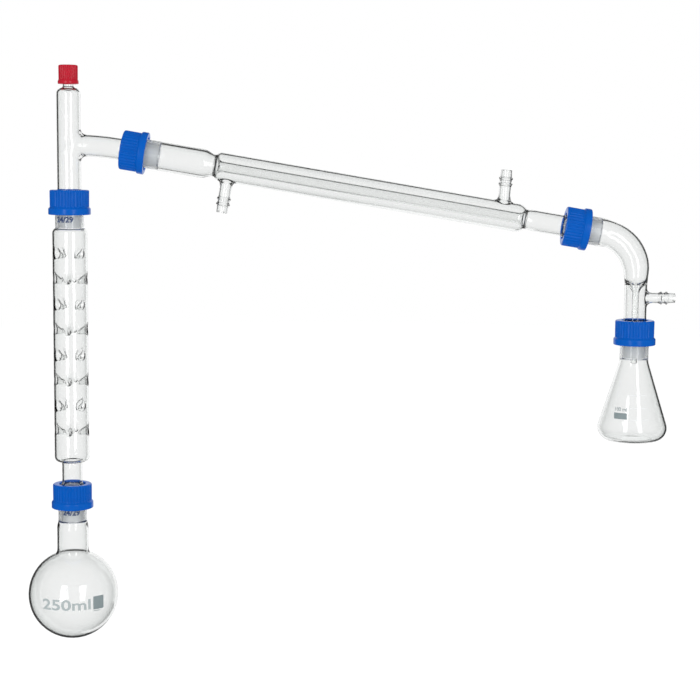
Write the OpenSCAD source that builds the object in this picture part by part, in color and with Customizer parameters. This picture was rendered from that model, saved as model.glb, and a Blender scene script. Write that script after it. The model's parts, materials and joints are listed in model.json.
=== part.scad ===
// Fractional distillation set: boiling flask, Vigreux column, still head,
// Liebig condenser, receiver adapter and conical flask, held by screw-cap ground joints.
// +Z is up. The origin is in the middle of the boiling flask's neck, on its axis.

/* [Ground joint] */
// Large diameter of the ground cone
joint_d = 24; // [20:0.5:26]
// Length of the ground zone
joint_length = 29; // [24:1:32]
// Radial clearance between cone and socket
joint_clearance = 0.05; // [0.02:0.01:0.1]
// Outer diameter of the socket below its thread
socket_d = 26.8; // [26:0.1:28]
// Outer diameter of the threaded part of the socket
thread_d = 29.4; // [29:0.1:30]
// Length of the threaded part of the socket
thread_length = 15; // [12:0.5:16]

/* [Screw caps] */
// Height of a blue cap
cap_height = 23; // [20:0.5:26]
// Outer diameter of a blue cap's ribbed body
cap_d = 36.6; // [35:0.2:38]
// Outer diameter of a blue cap's smooth skirt
cap_skirt_d = 39.2; // [38:0.2:41]
// Height of the skirt
cap_skirt_height = 6; // [4:0.5:8]
// Hole in the lid of a blue cap
cap_hole_d = 24.5; // [24:0.1:25.5]
// How far the cap's lid stands above the socket's rim
cap_rise = 5.5; // [5.3:0.1:6.5]
// Number of grip grooves round a cap
groove_count = 36; // [24:4:48]
// Depth of a grip groove
groove_depth = 0.5; // [0.3:0.1:0.8]

/* [Boiling flask] */
// Diameter of the ball
ball_d = 85; // [80:1:90]
// Depth of the ball's centre below the origin
ball_depth = 51.5; // [50:0.5:54]
// Height of the flask's rim above the origin
flask_rim_z = 49.4; // [46:0.2:54]

/* [Column] */
// Outer diameter of the column
column_d = 32.4; // [30:0.2:36]
// Height of the lower end of the column's body
column_bottom_z = 76; // [72:1:82]
// Height of the column's rim
column_rim_z = 326.4; // [320:0.2:332]
// Outer diameter of the tube below the column's body
column_tube_d = 19; // [17:0.5:21]
// Number of levels of dents
dent_levels = 8; // [4:1:8]
// Distance between two levels of dents
dent_pitch = 23.8; // [20:0.2:26]
// Height of the lowest level of dents
dent_first_z = 107; // [100:1:112]
// Diameter of a dent at the wall
dent_d = 10.5; // [8:0.5:12]
// Depth of a dent
dent_depth = 9; // [6:0.5:9.5]

/* [Still head] */
// Outer diameter of the head's tube
head_d = 22; // [20:0.2:22]
// Height of the head's shoulder
head_top_z = 425.4; // [410:0.2:430]
// Height of the side arm's axis
arm_z = 373; // [368:1:380]
// Outer diameter of the side arm
arm_d = 20; // [18:0.5:21]
// Distance from the column's axis to the bend in the arm
arm_bend_x = 27.3; // [24:0.1:32]
// Distance from the bend to the end of the condenser's socket
arm_reach = 27.5; // [26:0.5:34]

/* [Thermometer port] */
// Outer diameter of the port's thread
port_thread_d = 13.2; // [12:0.1:13.6]
// Height of the port's rim above the shoulder
port_rise = 15.1; // [14:0.1:20]
// Diameter of the red cap
port_cap_d = 17.9; // [17:0.1:19]
// Height of the red cap
port_cap_height = 17.5; // [16:0.5:19]
// Bore for the thermometer
thermometer_d = 6; // [5:0.5:7]

/* [Condenser] */
// Slope of the condenser below the horizontal, in degrees
slope = 9.25; // [6:0.25:12]
// Distance from the condenser's rim to the receiver's rim
condenser_length = 416.5; // [400:0.5:430]
// Outer diameter of the jacket
jacket_d = 24; // [23:0.5:28]
// Distance from the condenser's rim to the start of the jacket
jacket_start = 82; // [78:0.5:86]
// Distance from the condenser's rim to the end of the jacket
jacket_end = 376; // [360:0.5:380]
// Outer diameter of the inner tube
inner_tube_d = 10; // [9:0.5:12]
// Distance from the condenser's rim to the lower water nozzle
inlet_at = 95; // [94:0.5:110]
// Distance from the condenser's rim to the upper water nozzle
outlet_at = 353; // [330:0.5:356]
// Lean of the upper water nozzle towards the flask, in degrees
outlet_lean = 5; // [0:1:8]
// Distance from the condenser's axis to a water nozzle's tip
nozzle_reach = 42; // [38:0.5:46]

/* [Receiver adapter] */
// Distance from the adapter's rim to the corner of its bend
bend_reach = 64; // [60:0.5:70]
// Radius of the bend's centre line
bend_r = 38; // [34:0.5:39]
// Outer diameter of the bend
bend_d = 25; // [23:0.5:26]
// Height of the bend's corner above the conical flask's rim
outlet_drop = 82; // [78:0.5:88]
// Outer diameter of the adapter's lower tube
outlet_d = 21; // [19:0.5:22]
// Depth of the vacuum nozzle below the bend's corner
vacuum_drop = 55.5; // [52:0.5:57]
// Distance from the lower tube's axis to the vacuum nozzle's tip
vacuum_reach = 36.6; // [34:0.2:40]
// Outer diameter of the drip tube
drip_d = 6.5; // [5:0.5:8]

/* [Conical flask] */
// Largest diameter of the conical flask
conical_d = 64.6; // [62:0.2:68]
// Height of the conical flask from its base to its rim
conical_height = 108; // [100:0.5:114]
// Radius of the corner between wall and base
conical_corner_r = 12; // [8:0.5:14]

/* [Hidden] */

glass = [0.82, 0.88, 0.9, 0.35];
blue = [0.02, 0.27, 0.62];
dark_blue = [0.02, 0.1, 0.3];
red = [0.68, 0.16, 0.2];
silicone = [0.85, 0.83, 0.78];
ptfe = [0.95, 0.95, 0.95];

// Walls, the radius of a blown shoulder, the size of a fire-polished edge, and how far a cut runs past
wall = 1.5;
ball_wall = 1.8;
cone_wall = 1.8;
corner = 5;
edge = 0.5;
beyond = 1;
round_fn = 96;
small_fn = 48;

// The ground joint: its taper, the necked-in tube below a socket, and the shoulder above a cone
cone_r = joint_d / 2;
joint_taper = 1 / 20;
socket_r = socket_d / 2;
thread_r = thread_d / 2;
thread_runout = 1.3;
socket_bore_r = socket_r - wall - 0.9;
socket_neck = 1.5;
ground_end = joint_length + edge;
bore_blend = 2;
cone_bore_r = cone_r - cone_wall - 1;
cone_bore_end = 1.8;
shoulder_r = 11.1;
shoulder_low = 1.2;
shoulder_high = 1.7;
collar_end = 3.9;
blend_end = 7;
step = 0.15;
arm_start = 6.5;

// What a cap holds: its lid, the split ring under it, and the seal on the socket's rim
lid = 1.8;
ring_height = 1.8;
ring_gap = 0.1;
ring_r = 14.6;
ring_hole_r = shoulder_r + 0.25;
ring_slit = 1.5;
seal_height = 1.65;
seal_r = 14.2;
seal_hole_r = cone_r + 0.12;
cap_bore_r = 15.3;

// A hose nozzle with two barbs and a flared root
nozzle_r = 5;
nozzle_bore_r = 3.2;
nozzle_root_r = 6.4;
root_length = 5;
nozzle_edge = 0.4;
barb_r = 6.3;
barb_rise = 2.4;
barb_fall = 1.8;
barb_gap = 5.1;
barb_to_tip = 7.6;

// The thermometer port on the still head
port_r = port_thread_d / 2;
port_neck_r = 5;
port_neck_end = 6.2;
port_thread_start = 7.6;
port_bore_r = 4;
port_rim_z = head_top_z + port_rise;
port_cap_top_z = port_rim_z + 6;
port_cap_bore_r = port_r + 0.4;
port_cap_hole_r = thermometer_d / 2 + 1.2;
port_skirt_d = port_cap_d + 1.3;
port_skirt = 3;
port_grooves = 24;
port_seal_height = 3;
port_washer_height = 0.8;
port_disc_r = 6.4;
port_lid = 2;

// The column's dents lean down and in
dent_dip = 25;
dent_tip_d = 3;
dents_per_level = 4;
dent_lead = 3;
dent_wall = 1.3;

// The condenser's pinched tube, its jacket's ends and its inner tube
pinch_r = 10;
pinch_at = 79.5;
socket_tube_end = 73.5;
tail_r = 8;
tail_tube_d = 19.5;
funnel_length = 13;
tail_length = 7;
tail_flare = 11;
inner_bore_r = inner_tube_d / 2 - 1.2;
// The receiver's bend, the ring seal of its drip tube, and the drip tube
seal_depth = 41;
bend_tangent = bend_r * tan((90 - slope) / 2);
drip_wall = 1.1;
drip_past = 6;
funnel_depth = 5;
funnel_rim = 2;
funnel_throat = 3;

// A solid of revolution from an outline of [radius, height] points
module turned(outline) {
    rotate_extrude($fn = round_fn)
        polygon(outline);
}

// A solid round bar with rounded ends, from height low to height high
module rounded_bar(r, low, high, round_r) {
    rotate_extrude($fn = round_fn)
        union() {
            translate([0, low])
                square([r - round_r, high - low]);
            translate([0, low + round_r])
                square([r, high - low - 2 * round_r]);
            for (z = [low + round_r, high - round_r])
                translate([r - round_r, z])
                    intersection() {
                        circle(r = round_r, $fn = small_fn);
                        translate([-(r - round_r), -round_r])
                            square([r, 2 * round_r]);
                    }
        }
}

// Places along the set. Each puts a joint's rim at height 0 with its cone coming in from above.
module at_arm_corner() {
    translate([arm_bend_x, 0, arm_z])
        rotate([0, 90 + slope, 0])
            children();
}

module at_condenser() {
    at_arm_corner()
        translate([0, 0, arm_reach])
            rotate([180, 0, 0])
                children();
}

module at_receiver() {
    at_condenser()
        translate([0, 0, -condenser_length])
            children();
}

run = arm_reach + condenser_length + bend_reach;
corner_x = arm_bend_x + run * cos(slope);
corner_z = arm_z - run * sin(slope);
conical_rim_z = corner_z - outlet_drop;
conical_base = -conical_height;

module at_flask() {
    translate([0, 0, flask_rim_z])
        children();
}

module at_column() {
    translate([0, 0, column_rim_z])
        children();
}

module at_conical() {
    translate([corner_x, 0, conical_rim_z])
        children();
}

// Threaded socket with its rim at height 0, solid down to the given depth
module socket_body(depth, r = socket_r) {
    turned([
        [0, -depth], [r, -depth], [r, -ground_end - socket_neck], [socket_r, -ground_end],
        [socket_r, -thread_length - thread_runout], [thread_r, -thread_length], [thread_r, -edge],
        [thread_r - edge, 0], [0, 0]
    ]);
}

// The tapered hole of a socket, open at the rim and carried on as a bore to the given depth
module socket_hole(depth, bore_r = socket_bore_r) {
    fit_r = cone_r + joint_clearance;
    end_r = fit_r - ground_end * joint_taper;
    turned([
        [0, -depth], [bore_r, -depth], [bore_r, -ground_end - bore_blend], [end_r, -ground_end],
        [fit_r + beyond * joint_taper, beyond], [0, beyond]
    ]);
}

// Ground cone with its large end at height 0, carried on as a tube up to the given height
module cone_body(height, tube_r) {
    turned([
        [0, -joint_length], [cone_r - joint_length * joint_taper, -joint_length],
        [cone_r + shoulder_low * joint_taper, shoulder_low], [shoulder_r, shoulder_high],
        [shoulder_r, collar_end], [tube_r, blend_end], [tube_r, height], [0, height]
    ]);
}

module cone_hole(height, tube_r) {
    low_r = cone_r - joint_length * joint_taper - cone_wall;
    high_r = min(cone_bore_r, tube_r - wall);
    turned([
        [0, -joint_length - beyond], [low_r, -joint_length - beyond], [low_r, -joint_length],
        [cone_bore_r, -cone_bore_end], [high_r, blend_end],
        [tube_r - wall, blend_end + edge], [tube_r - wall, height], [0, height]
    ]);
}

module cap_outline(r, depth, count) {
    difference() {
        circle(r = r, $fn = round_fn);
        for (i = [0:count - 1])
            rotate(i * 360 / count)
                translate([r, 0])
                    circle(r = depth, $fn = 16);
    }
}

// A ribbed cap with a smooth skirt below and a hole in its lid, from height low to height high
module ribbed_cap(low, high, d, skirt_d, skirt, bore_r, hole_r, lid_height, grooves) {
    difference() {
        union() {
            translate([0, 0, low])
                linear_extrude(high - low)
                    cap_outline(d / 2, groove_depth, grooves);
            translate([0, 0, low])
                cylinder(h = skirt, r = skirt_d / 2, $fn = round_fn);
        }
        translate([0, 0, low - beyond])
            cylinder(h = high - low - lid_height + beyond, r = bore_r, $fn = round_fn);
        translate([0, 0, low])
            cylinder(h = high - low + beyond, r = hole_r, $fn = round_fn);
    }
}

module screw_cap() {
    color(blue)
        ribbed_cap(
            low = cap_rise - cap_height, high = cap_rise, d = cap_d, skirt_d = cap_skirt_d,
            skirt = cap_skirt_height, bore_r = cap_bore_r, hole_r = cap_hole_d / 2,
            lid_height = lid, grooves = groove_count
        );
}

module retaining_ring() {
    low = cap_rise - lid - ring_gap - ring_height;
    color(dark_blue)
        difference() {
            translate([0, 0, low])
                cylinder(h = ring_height, r = ring_r, $fn = round_fn);
            translate([0, 0, low - beyond])
                cylinder(h = ring_height + 2 * beyond, r = ring_hole_r, $fn = round_fn);
            translate([0, -ring_slit / 2, low - beyond])
                cube([ring_r + beyond, ring_slit, ring_height + 2 * beyond]);
        }
}

module joint_seal() {
    color(silicone)
        difference() {
            cylinder(h = seal_height, r = seal_r, $fn = round_fn);
            translate([0, 0, -beyond])
                cylinder(h = seal_height + 2 * beyond, r = seal_hole_r, $fn = round_fn);
        }
}

// Barbed nozzle along +Z from the axis of its tube: the outside, from depth start to the tip
module nozzle_body(start, tip) {
    high_barb = tip - barb_to_tip;
    low_barb = high_barb - barb_gap;
    turned([
        [0, start], [nozzle_root_r, start], [nozzle_r, start + root_length], [nozzle_r, low_barb - barb_rise],
        [barb_r, low_barb], [nozzle_r, low_barb + barb_fall], [nozzle_r, high_barb - barb_rise],
        [barb_r, high_barb], [nozzle_r, high_barb + barb_fall], [nozzle_r, tip - nozzle_edge],
        [nozzle_r - nozzle_edge, tip], [0, tip]
    ]);
}

// Barbed nozzle towards +X on a tube of radius tube_r along Z, leaning up by lean degrees
module side_nozzle(tube_r, tip, lean = 0) {
    color(glass)
        difference() {
            rotate([0, 90 - lean, 0])
                nozzle_body(tube_r - wall, tip);
            side_hole(tip + beyond, lean);
            cylinder(h = 4 * nozzle_root_r, r = tube_r, center = true, $fn = round_fn);
        }
}

module side_hole(tip, lean = 0) {
    rotate([0, 90 - lean, 0])
        cylinder(h = tip, r = nozzle_bore_r, $fn = small_fn);
}

module boiling_flask() {
    color(glass)
        difference() {
            union() {
                translate([0, 0, -ball_depth])
                    sphere(d = ball_d, $fn = round_fn);
                at_flask()
                    socket_body(flask_rim_z + ball_depth);
            }
            translate([0, 0, -ball_depth])
                sphere(d = ball_d - 2 * ball_wall, $fn = round_fn);
            at_flask()
                socket_hole(flask_rim_z + ball_depth);
        }
}

// One dent: a cone that leans down and in, from the depth start to the depth end, slimmer by inset
module dent(level, i, start, end, inset) {
    turn = i * 360 / dents_per_level + (level % 2) * 180 / dents_per_level;
    slimming = (dent_d - dent_tip_d) / dent_depth;
    translate([0, 0, dent_first_z + level * dent_pitch])
        rotate([0, 0, turn])
            translate([column_d / 2, 0, 0])
                rotate([0, -90 - dent_dip, 0])
                    translate([0, 0, start])
                        cylinder(
                            h = end - start,
                            d1 = dent_d - slimming * start - 2 * inset,
                            d2 = dent_d - slimming * end - 2 * inset,
                            $fn = 32
                        );
}

module all_dents(start, end, inset) {
    for (level = [0:dent_levels - 1])
        for (i = [0:dents_per_level - 1])
            dent(level, i, start, end, inset);
}

module vigreux_column() {
    body_top = column_rim_z - ground_end;
    color(glass)
        difference() {
            union() {
                difference() {
                    union() {
                        rounded_bar(column_d / 2, column_bottom_z, body_top, corner);
                        at_column()
                            socket_body(ground_end + corner);
                        at_flask()
                            cone_body(column_bottom_z + corner - flask_rim_z, column_tube_d / 2);
                    }
                    rounded_bar(column_d / 2 - wall, column_bottom_z + wall, body_top - wall, corner - wall);
                    at_column()
                        socket_hole(ground_end + 2 * corner);
                    at_flask()
                        cone_hole(column_bottom_z + 2 * corner - flask_rim_z, column_tube_d / 2);
                }
                intersection() {
                    all_dents(-dent_lead, dent_depth, 0);
                    translate([0, 0, column_bottom_z])
                        cylinder(h = body_top - column_bottom_z, d = column_d, $fn = round_fn);
                }
            }
            all_dents(-dent_lead, dent_depth - wall, dent_wall);
        }
}

// The side arm as a solid bar of radius r: one arc from the head's axis to the arm's cone
module arm_bar(r) {
    tangent = arm_reach - arm_start;
    bend_r = tangent / tan(slope / 2);
    at_condenser()
        translate([bend_r, 0, arm_start])
            rotate([90, 0, 180])
                rotate_extrude(angle = slope + asin((arm_bend_x - tangent) / bend_r), $fn = 720)
                    translate([bend_r, 0])
                        circle(r = r, $fn = round_fn);
}

module port_body() {
    turned([
        [0, head_top_z - wall - edge], [port_neck_r, head_top_z - wall - edge],
        [port_neck_r, head_top_z + port_neck_end], [port_r, head_top_z + port_thread_start],
        [port_r, port_rim_z - edge], [port_r - edge, port_rim_z], [0, port_rim_z]
    ]);
}

module still_head() {
    low = column_rim_z + blend_end;
    color(glass)
        difference() {
            union() {
                rounded_bar(head_d / 2, low, head_top_z, corner);
                translate([0, 0, low])
                    cylinder(h = 2 * corner, d = head_d, $fn = round_fn);
                port_body();
                at_column()
                    cone_body(blend_end + edge, head_d / 2);
                arm_bar(arm_d / 2);
                at_condenser()
                    cone_body(blend_end + edge, arm_d / 2 + step);
            }
            rounded_bar(head_d / 2 - wall, low - corner, head_top_z - wall, corner - wall);
            at_column()
                cone_hole(blend_end + 1, head_d / 2);
            arm_bar(arm_d / 2 - wall);
            at_condenser()
                cone_hole(blend_end + 1, arm_d / 2 - step);
            cylinder(h = port_rim_z + beyond, r = port_bore_r, $fn = small_fn);
        }
}

// The condenser's solids hang down from its rim, which is at height 0
module condenser_tube() {
    socket_end = -socket_tube_end;
    color(glass)
        at_condenser()
            difference() {
                union() {
                    socket_body(-socket_end);
                    turned([
                        [0, -condenser_length + blend_end], [tail_tube_d / 2, -condenser_length + blend_end],
                        [tail_tube_d / 2, -jacket_end - tail_flare], [tail_r, -jacket_end],
                        [tail_r, -jacket_end + wall],
                        [inner_tube_d / 2, -jacket_end + tail_length],
                        [inner_tube_d / 2, -jacket_start - funnel_length],
                        [pinch_r, -jacket_start - wall], [pinch_r, -pinch_at], [socket_r, socket_end],
                        [0, socket_end]
                    ]);
                    at_condenser_tail()
                        cone_body(blend_end + edge, tail_tube_d / 2);
                }
                socket_hole(-socket_end - 2);
                turned([
                    [0, -condenser_length + blend_end - beyond],
                    [tail_tube_d / 2 - wall, -condenser_length + blend_end - beyond],
                    [tail_tube_d / 2 - wall, -jacket_end - tail_flare], [tail_r - wall, -jacket_end],
                    [inner_bore_r, -jacket_end + tail_length],
                    [inner_bore_r, -jacket_start - funnel_length],
                    [pinch_r - wall, -jacket_start], [pinch_r - wall, -pinch_at],
                    [socket_bore_r, socket_end], [socket_bore_r, socket_end + 3], [0, socket_end + 3]
                ]);
                at_condenser_tail()
                    cone_hole(blend_end + 1, tail_tube_d / 2);
            }
}

module at_condenser_tail() {
    translate([0, 0, -condenser_length])
        children();
}

module condenser_jacket() {
    color(glass)
        at_condenser()
            difference() {
                rounded_bar(jacket_d / 2, -jacket_end, -jacket_start, corner);
                rounded_bar(jacket_d / 2 - wall, -jacket_end + wall, -jacket_start - wall, corner - wall);
                translate([0, 0, -jacket_start - corner])
                    cylinder(h = corner + beyond, r = pinch_r, $fn = round_fn);
                translate([0, 0, -jacket_end - beyond])
                    cylinder(h = corner + beyond, r = tail_r, $fn = round_fn);
                at_inlet()
                    side_hole(jacket_d);
                at_outlet()
                    side_hole(jacket_d, outlet_lean);
            }
}

// Places on the condenser's axis where +X runs along a water nozzle
module at_inlet() {
    translate([0, 0, -inlet_at])
        children();
}

module at_outlet() {
    translate([0, 0, -outlet_at])
        rotate([0, 0, 180])
            children();
}

module inlet_nozzle() {
    at_condenser()
        at_inlet()
            side_nozzle(jacket_d / 2, nozzle_reach);
}

module outlet_nozzle() {
    at_condenser()
        at_outlet()
            side_nozzle(jacket_d / 2, nozzle_reach, outlet_lean);
}

// The adapter's bend as a solid bar of radius r, from the end of its socket to the lower tube
module bend_bar(r) {
    at_receiver()
        translate([bend_r, 0, bend_tangent - bend_reach])
            rotate([-90, 0, 180])
                rotate_extrude(angle = 90 - slope, $fn = 180)
                    translate([bend_r, 0])
                        circle(r = r, $fn = round_fn);
}

// The adapter's lower part as a solid bar with radius r at the bend and tube_r below the ring seal
module outlet_bar(r, tube_r, end) {
    translate([corner_x, 0, corner_z])
        turned([
            [0, end], [tube_r, end], [tube_r, -seal_depth - 3], [r, -seal_depth],
            [r, 3 * step - bend_tangent], [0, 3 * step - bend_tangent]
        ]);
}

module receiver_adapter() {
    straight = bend_reach - bend_tangent;
    color(glass)
        difference() {
            union() {
                at_receiver()
                    socket_body(straight + beyond);
                bend_bar(bend_d / 2);
                outlet_bar(bend_d / 2 + step, outlet_d / 2, -outlet_drop + blend_end);
                at_conical()
                    cone_body(blend_end + edge, outlet_d / 2);
            }
            at_receiver()
                socket_hole(straight + beyond, bend_d / 2 - wall - step);
            bend_bar(bend_d / 2 - wall);
            outlet_bar(bend_d / 2 - wall + step, outlet_d / 2 - wall, -outlet_drop + blend_end - beyond);
            at_conical()
                cone_hole(blend_end + 1, outlet_d / 2);
            at_vacuum()
                side_hole(outlet_d);
        }
}

module at_vacuum() {
    translate([corner_x, 0, corner_z - vacuum_drop])
        children();
}

module vacuum_nozzle() {
    at_vacuum()
        side_nozzle(outlet_d / 2, vacuum_reach);
}

// Funnel across the bend's lower end, carried on as a narrow tube past the cone
module drip_tube() {
    rim_r = bend_d / 2 - wall + step;
    bore_r = drip_d / 2 - drip_wall;
    end = -outlet_drop - joint_length - drip_past;
    color(glass)
        translate([corner_x, 0, corner_z - seal_depth])
            turned([
                [bore_r, end + seal_depth], [drip_d / 2, end + seal_depth], [drip_d / 2, -funnel_depth],
                [rim_r, 0], [rim_r, funnel_rim], [bore_r, -funnel_throat]
            ]);
}

// The conical flask's outside, or its inside when inset is the wall's thickness
module conical_bar(inset) {
    r = conical_corner_r - inset;
    side = conical_d / 2 - conical_corner_r;
    centre_z = conical_base + conical_corner_r;
    top_z = -ground_end - 2;
    top_r = socket_r - inset;
    lean = atan((side + conical_corner_r - socket_r) / (top_z - centre_z));
    foot_r = side + r * cos(lean);
    foot_z = centre_z + r * sin(lean);
    translate([0, 0, conical_base + inset])
        cylinder(h = conical_corner_r, r = side, $fn = round_fn);
    rotate_extrude($fn = round_fn)
        translate([side, centre_z])
            circle(r = r, $fn = small_fn);
    translate([0, 0, foot_z])
        cylinder(h = top_z - foot_z, r1 = foot_r, r2 = top_r, $fn = round_fn);
    translate([0, 0, centre_z])
        cylinder(h = foot_z - centre_z, r = side, $fn = round_fn);
}

module conical_flask() {
    color(glass)
        at_conical()
            difference() {
                union() {
                    conical_bar(0);
                    socket_body(ground_end + 4);
                }
                conical_bar(wall);
                socket_hole(ground_end + 4);
            }
}

module flask_cap() {
    at_flask()
        screw_cap();
}

module column_cap() {
    at_column()
        screw_cap();
}

module condenser_cap() {
    at_condenser()
        screw_cap();
}

module receiver_cap() {
    at_receiver()
        screw_cap();
}

module conical_cap() {
    at_conical()
        screw_cap();
}

module flask_ring() {
    at_flask()
        retaining_ring();
}

module column_ring() {
    at_column()
        retaining_ring();
}

module condenser_ring() {
    at_condenser()
        retaining_ring();
}

module receiver_ring() {
    at_receiver()
        retaining_ring();
}

module conical_ring() {
    at_conical()
        retaining_ring();
}

module flask_seal() {
    at_flask()
        joint_seal();
}

module column_seal() {
    at_column()
        joint_seal();
}

module condenser_seal() {
    at_condenser()
        joint_seal();
}

module receiver_seal() {
    at_receiver()
        joint_seal();
}

module conical_seal() {
    at_conical()
        joint_seal();
}

// A flat disc with a hole, from height low
module port_disc(low, height, hole_d) {
    translate([0, 0, low])
        difference() {
            cylinder(h = height, r = port_disc_r, $fn = round_fn);
            translate([0, 0, -beyond])
                cylinder(h = height + 2 * beyond, d = hole_d, $fn = small_fn);
        }
}

module thermometer_seal() {
    color(silicone)
        port_disc(port_rim_z, port_seal_height, thermometer_d);
}

module thermometer_washer() {
    color(ptfe)
        port_disc(port_rim_z + port_seal_height, port_washer_height, thermometer_d + 1);
}

module thermometer_cap() {
    color(red)
        ribbed_cap(
            low = port_cap_top_z - port_cap_height, high = port_cap_top_z, d = port_cap_d,
            skirt_d = port_skirt_d, skirt = port_skirt, bore_r = port_cap_bore_r, hole_r = port_cap_hole_r,
            lid_height = port_lid, grooves = port_grooves
        );
}

boiling_flask();
vigreux_column();
still_head();
condenser_tube();
condenser_jacket();
inlet_nozzle();
outlet_nozzle();
receiver_adapter();
drip_tube();
vacuum_nozzle();
conical_flask();
flask_cap();
column_cap();
condenser_cap();
receiver_cap();
conical_cap();
flask_ring();
column_ring();
condenser_ring();
receiver_ring();
conical_ring();
flask_seal();
column_seal();
condenser_seal();
receiver_seal();
conical_seal();
thermometer_cap();
thermometer_seal();
thermometer_washer();
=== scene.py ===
"""Looks of a fractional distillation set: blown glass, ground joints, ribbed caps and printed marks."""
import json
import math

import bpy
import numpy as np
from mathutils import Matrix, Vector

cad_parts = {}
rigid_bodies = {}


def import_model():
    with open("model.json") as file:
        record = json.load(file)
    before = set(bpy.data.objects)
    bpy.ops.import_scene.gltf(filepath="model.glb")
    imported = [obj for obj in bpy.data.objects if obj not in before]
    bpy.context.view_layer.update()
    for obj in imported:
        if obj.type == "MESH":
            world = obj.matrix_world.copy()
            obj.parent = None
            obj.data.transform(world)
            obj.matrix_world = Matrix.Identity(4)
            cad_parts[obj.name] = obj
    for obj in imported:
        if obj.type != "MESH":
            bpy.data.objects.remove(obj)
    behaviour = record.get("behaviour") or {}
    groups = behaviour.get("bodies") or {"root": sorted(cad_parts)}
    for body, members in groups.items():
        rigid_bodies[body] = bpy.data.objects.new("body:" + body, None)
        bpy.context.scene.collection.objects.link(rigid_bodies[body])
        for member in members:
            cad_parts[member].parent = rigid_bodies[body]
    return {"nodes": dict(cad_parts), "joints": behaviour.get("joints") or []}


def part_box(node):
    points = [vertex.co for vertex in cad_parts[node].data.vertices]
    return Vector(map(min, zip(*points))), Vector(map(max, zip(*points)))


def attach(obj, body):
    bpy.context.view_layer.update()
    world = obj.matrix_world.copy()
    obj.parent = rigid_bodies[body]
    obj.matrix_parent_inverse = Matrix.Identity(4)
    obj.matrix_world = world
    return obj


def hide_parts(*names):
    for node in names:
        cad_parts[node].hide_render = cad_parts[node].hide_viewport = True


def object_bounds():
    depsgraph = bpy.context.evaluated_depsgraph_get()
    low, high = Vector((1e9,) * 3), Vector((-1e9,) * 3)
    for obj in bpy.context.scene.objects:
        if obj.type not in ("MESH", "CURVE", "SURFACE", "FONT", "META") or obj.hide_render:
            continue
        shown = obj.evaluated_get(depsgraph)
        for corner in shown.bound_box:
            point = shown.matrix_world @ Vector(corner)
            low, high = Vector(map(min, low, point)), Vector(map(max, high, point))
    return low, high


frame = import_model()
cad_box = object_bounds()
joints = {joint["name"]: joint for joint in frame["joints"]}

# ---------------------------------------------------------------- sizes, in millimetres

MM = 0.001

# Ground joint and its screw thread
CONE_R = 12
TAPER = 1 / 20
JOINT_LENGTH = 29
CLEARANCE = 0.05
SOCKET_R = 13.4
SOCKET_BORE_R = 11
GROUND_END = JOINT_LENGTH + 0.5
CONE_BORE_R = 9.2
CONE_TIP_BORE_R = 8.75
SHOULDER_R = 11.1
THREAD_R = 14.65
LIP_R = 13.95
THREAD_LENGTH = 15
THREAD_PITCH = 3.5
WALL = 1.5

# Boiling flask: the ball, a hair smaller than designed to leave room for its printed marks, and its neck
BALL_R = 42.3
BALL_WALL = 1.8
BALL_SHOULDER_R = 19
NECK_R = 14.8

# Column
COLUMN_R = 16.2
COLUMN_TUBE_R = 9.5
COLUMN_BOTTOM_Z = 76
CORNER = 5
DENT_LEVELS = 8
DENTS_PER_LEVEL = 4
DENT_FIRST_Z = 107
DENT_PITCH = 23.8
DENT_R = 5.6
DENT_DEPTH = 8.6
DENT_FALL = 3.6

# Still head
HEAD_R = 11
HEAD_TOP_Z = 425.4
ARM_Z = 373
ARM_R = 10
ARM_START = 6.5
PORT_NECK_R = 5
PORT_R = 6.6
PORT_CORE_R = 6.1
PORT_PITCH = 2.5
PORT_BORE_R = 4
PORT_RISE = 15.1

# Condenser, measured down from its rim
PINCH_AT = 79.5
PINCH_R = 10
SOCKET_TUBE_END = 72
JACKET_R = 13
DOME_R = 10
UPPER_FUNNEL = 4
LOWER_FUNNEL = 6
TAIL_R = 9
TAIL_FLARE = 5
JACKET_START = 82
JACKET_END = 376
INNER_R = 5
INNER_BORE_R = 3.8
TAIL_TUBE_R = 9.75
INLET_AT = 95
OUTLET_AT = 353
OUTLET_LEAN = math.radians(5)
CONDENSER_LENGTH = 416.5

# Hose nozzles: the two for water and the one for vacuum
NOZZLE_R = 5.5
NOZZLE_BORE_R = 4.3
VACUUM_NOZZLE_R = 5
VACUUM_BORE_R = 3.9
NOZZLE_ROOT = 1.1
BARB_RISE = 1.25
BARB_RAMP = 2.4
BARB_BACK = 0.9
BARB_GAP = 5.1
BARB_TO_TIP = 7.6
NOZZLE_REACH = 42

# Receiver adapter
BEND_R = 38
BEND_REACH = 64
BEND_TUBE_R = 12.5
OUTLET_TUBE_R = 10.5
OUTLET_DROP = 82
SEAL_DEPTH = 41
VACUUM_DROP = 55.5
VACUUM_REACH = 36.6
SEAL_TAPER = 17
FUNNEL_END = 8
DRIP_R = 3.25
DRIP_BORE_R = 2.15
DRIP_PAST = 6

# Conical flask
CONICAL_R = 32.3
CONICAL_HEIGHT = 108
CONICAL_CORNER_R = 12

# Screw caps
CAP_R = 18.25
CAP_SKIRT_R = 19.6
CAP_TOP = 5.5
CAP_HEIGHT = 23
CAP_SKIRT = 6
CAP_HOLE_R = 12.25
CAP_BORE_R = 15.3
CAP_RIBS = 36
RIB_DEPTH = 0.8
PORT_CAP_R = 8.95
PORT_CAP_SKIRT_R = 9.6
PORT_CAP_SKIRT = 3
PORT_CAP_HEIGHT = 17.5
PORT_CAP_HOLE_R = 4.2
PORT_CAP_RIBS = 24


# ---------------------------------------------------------------- places on the frame

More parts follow.
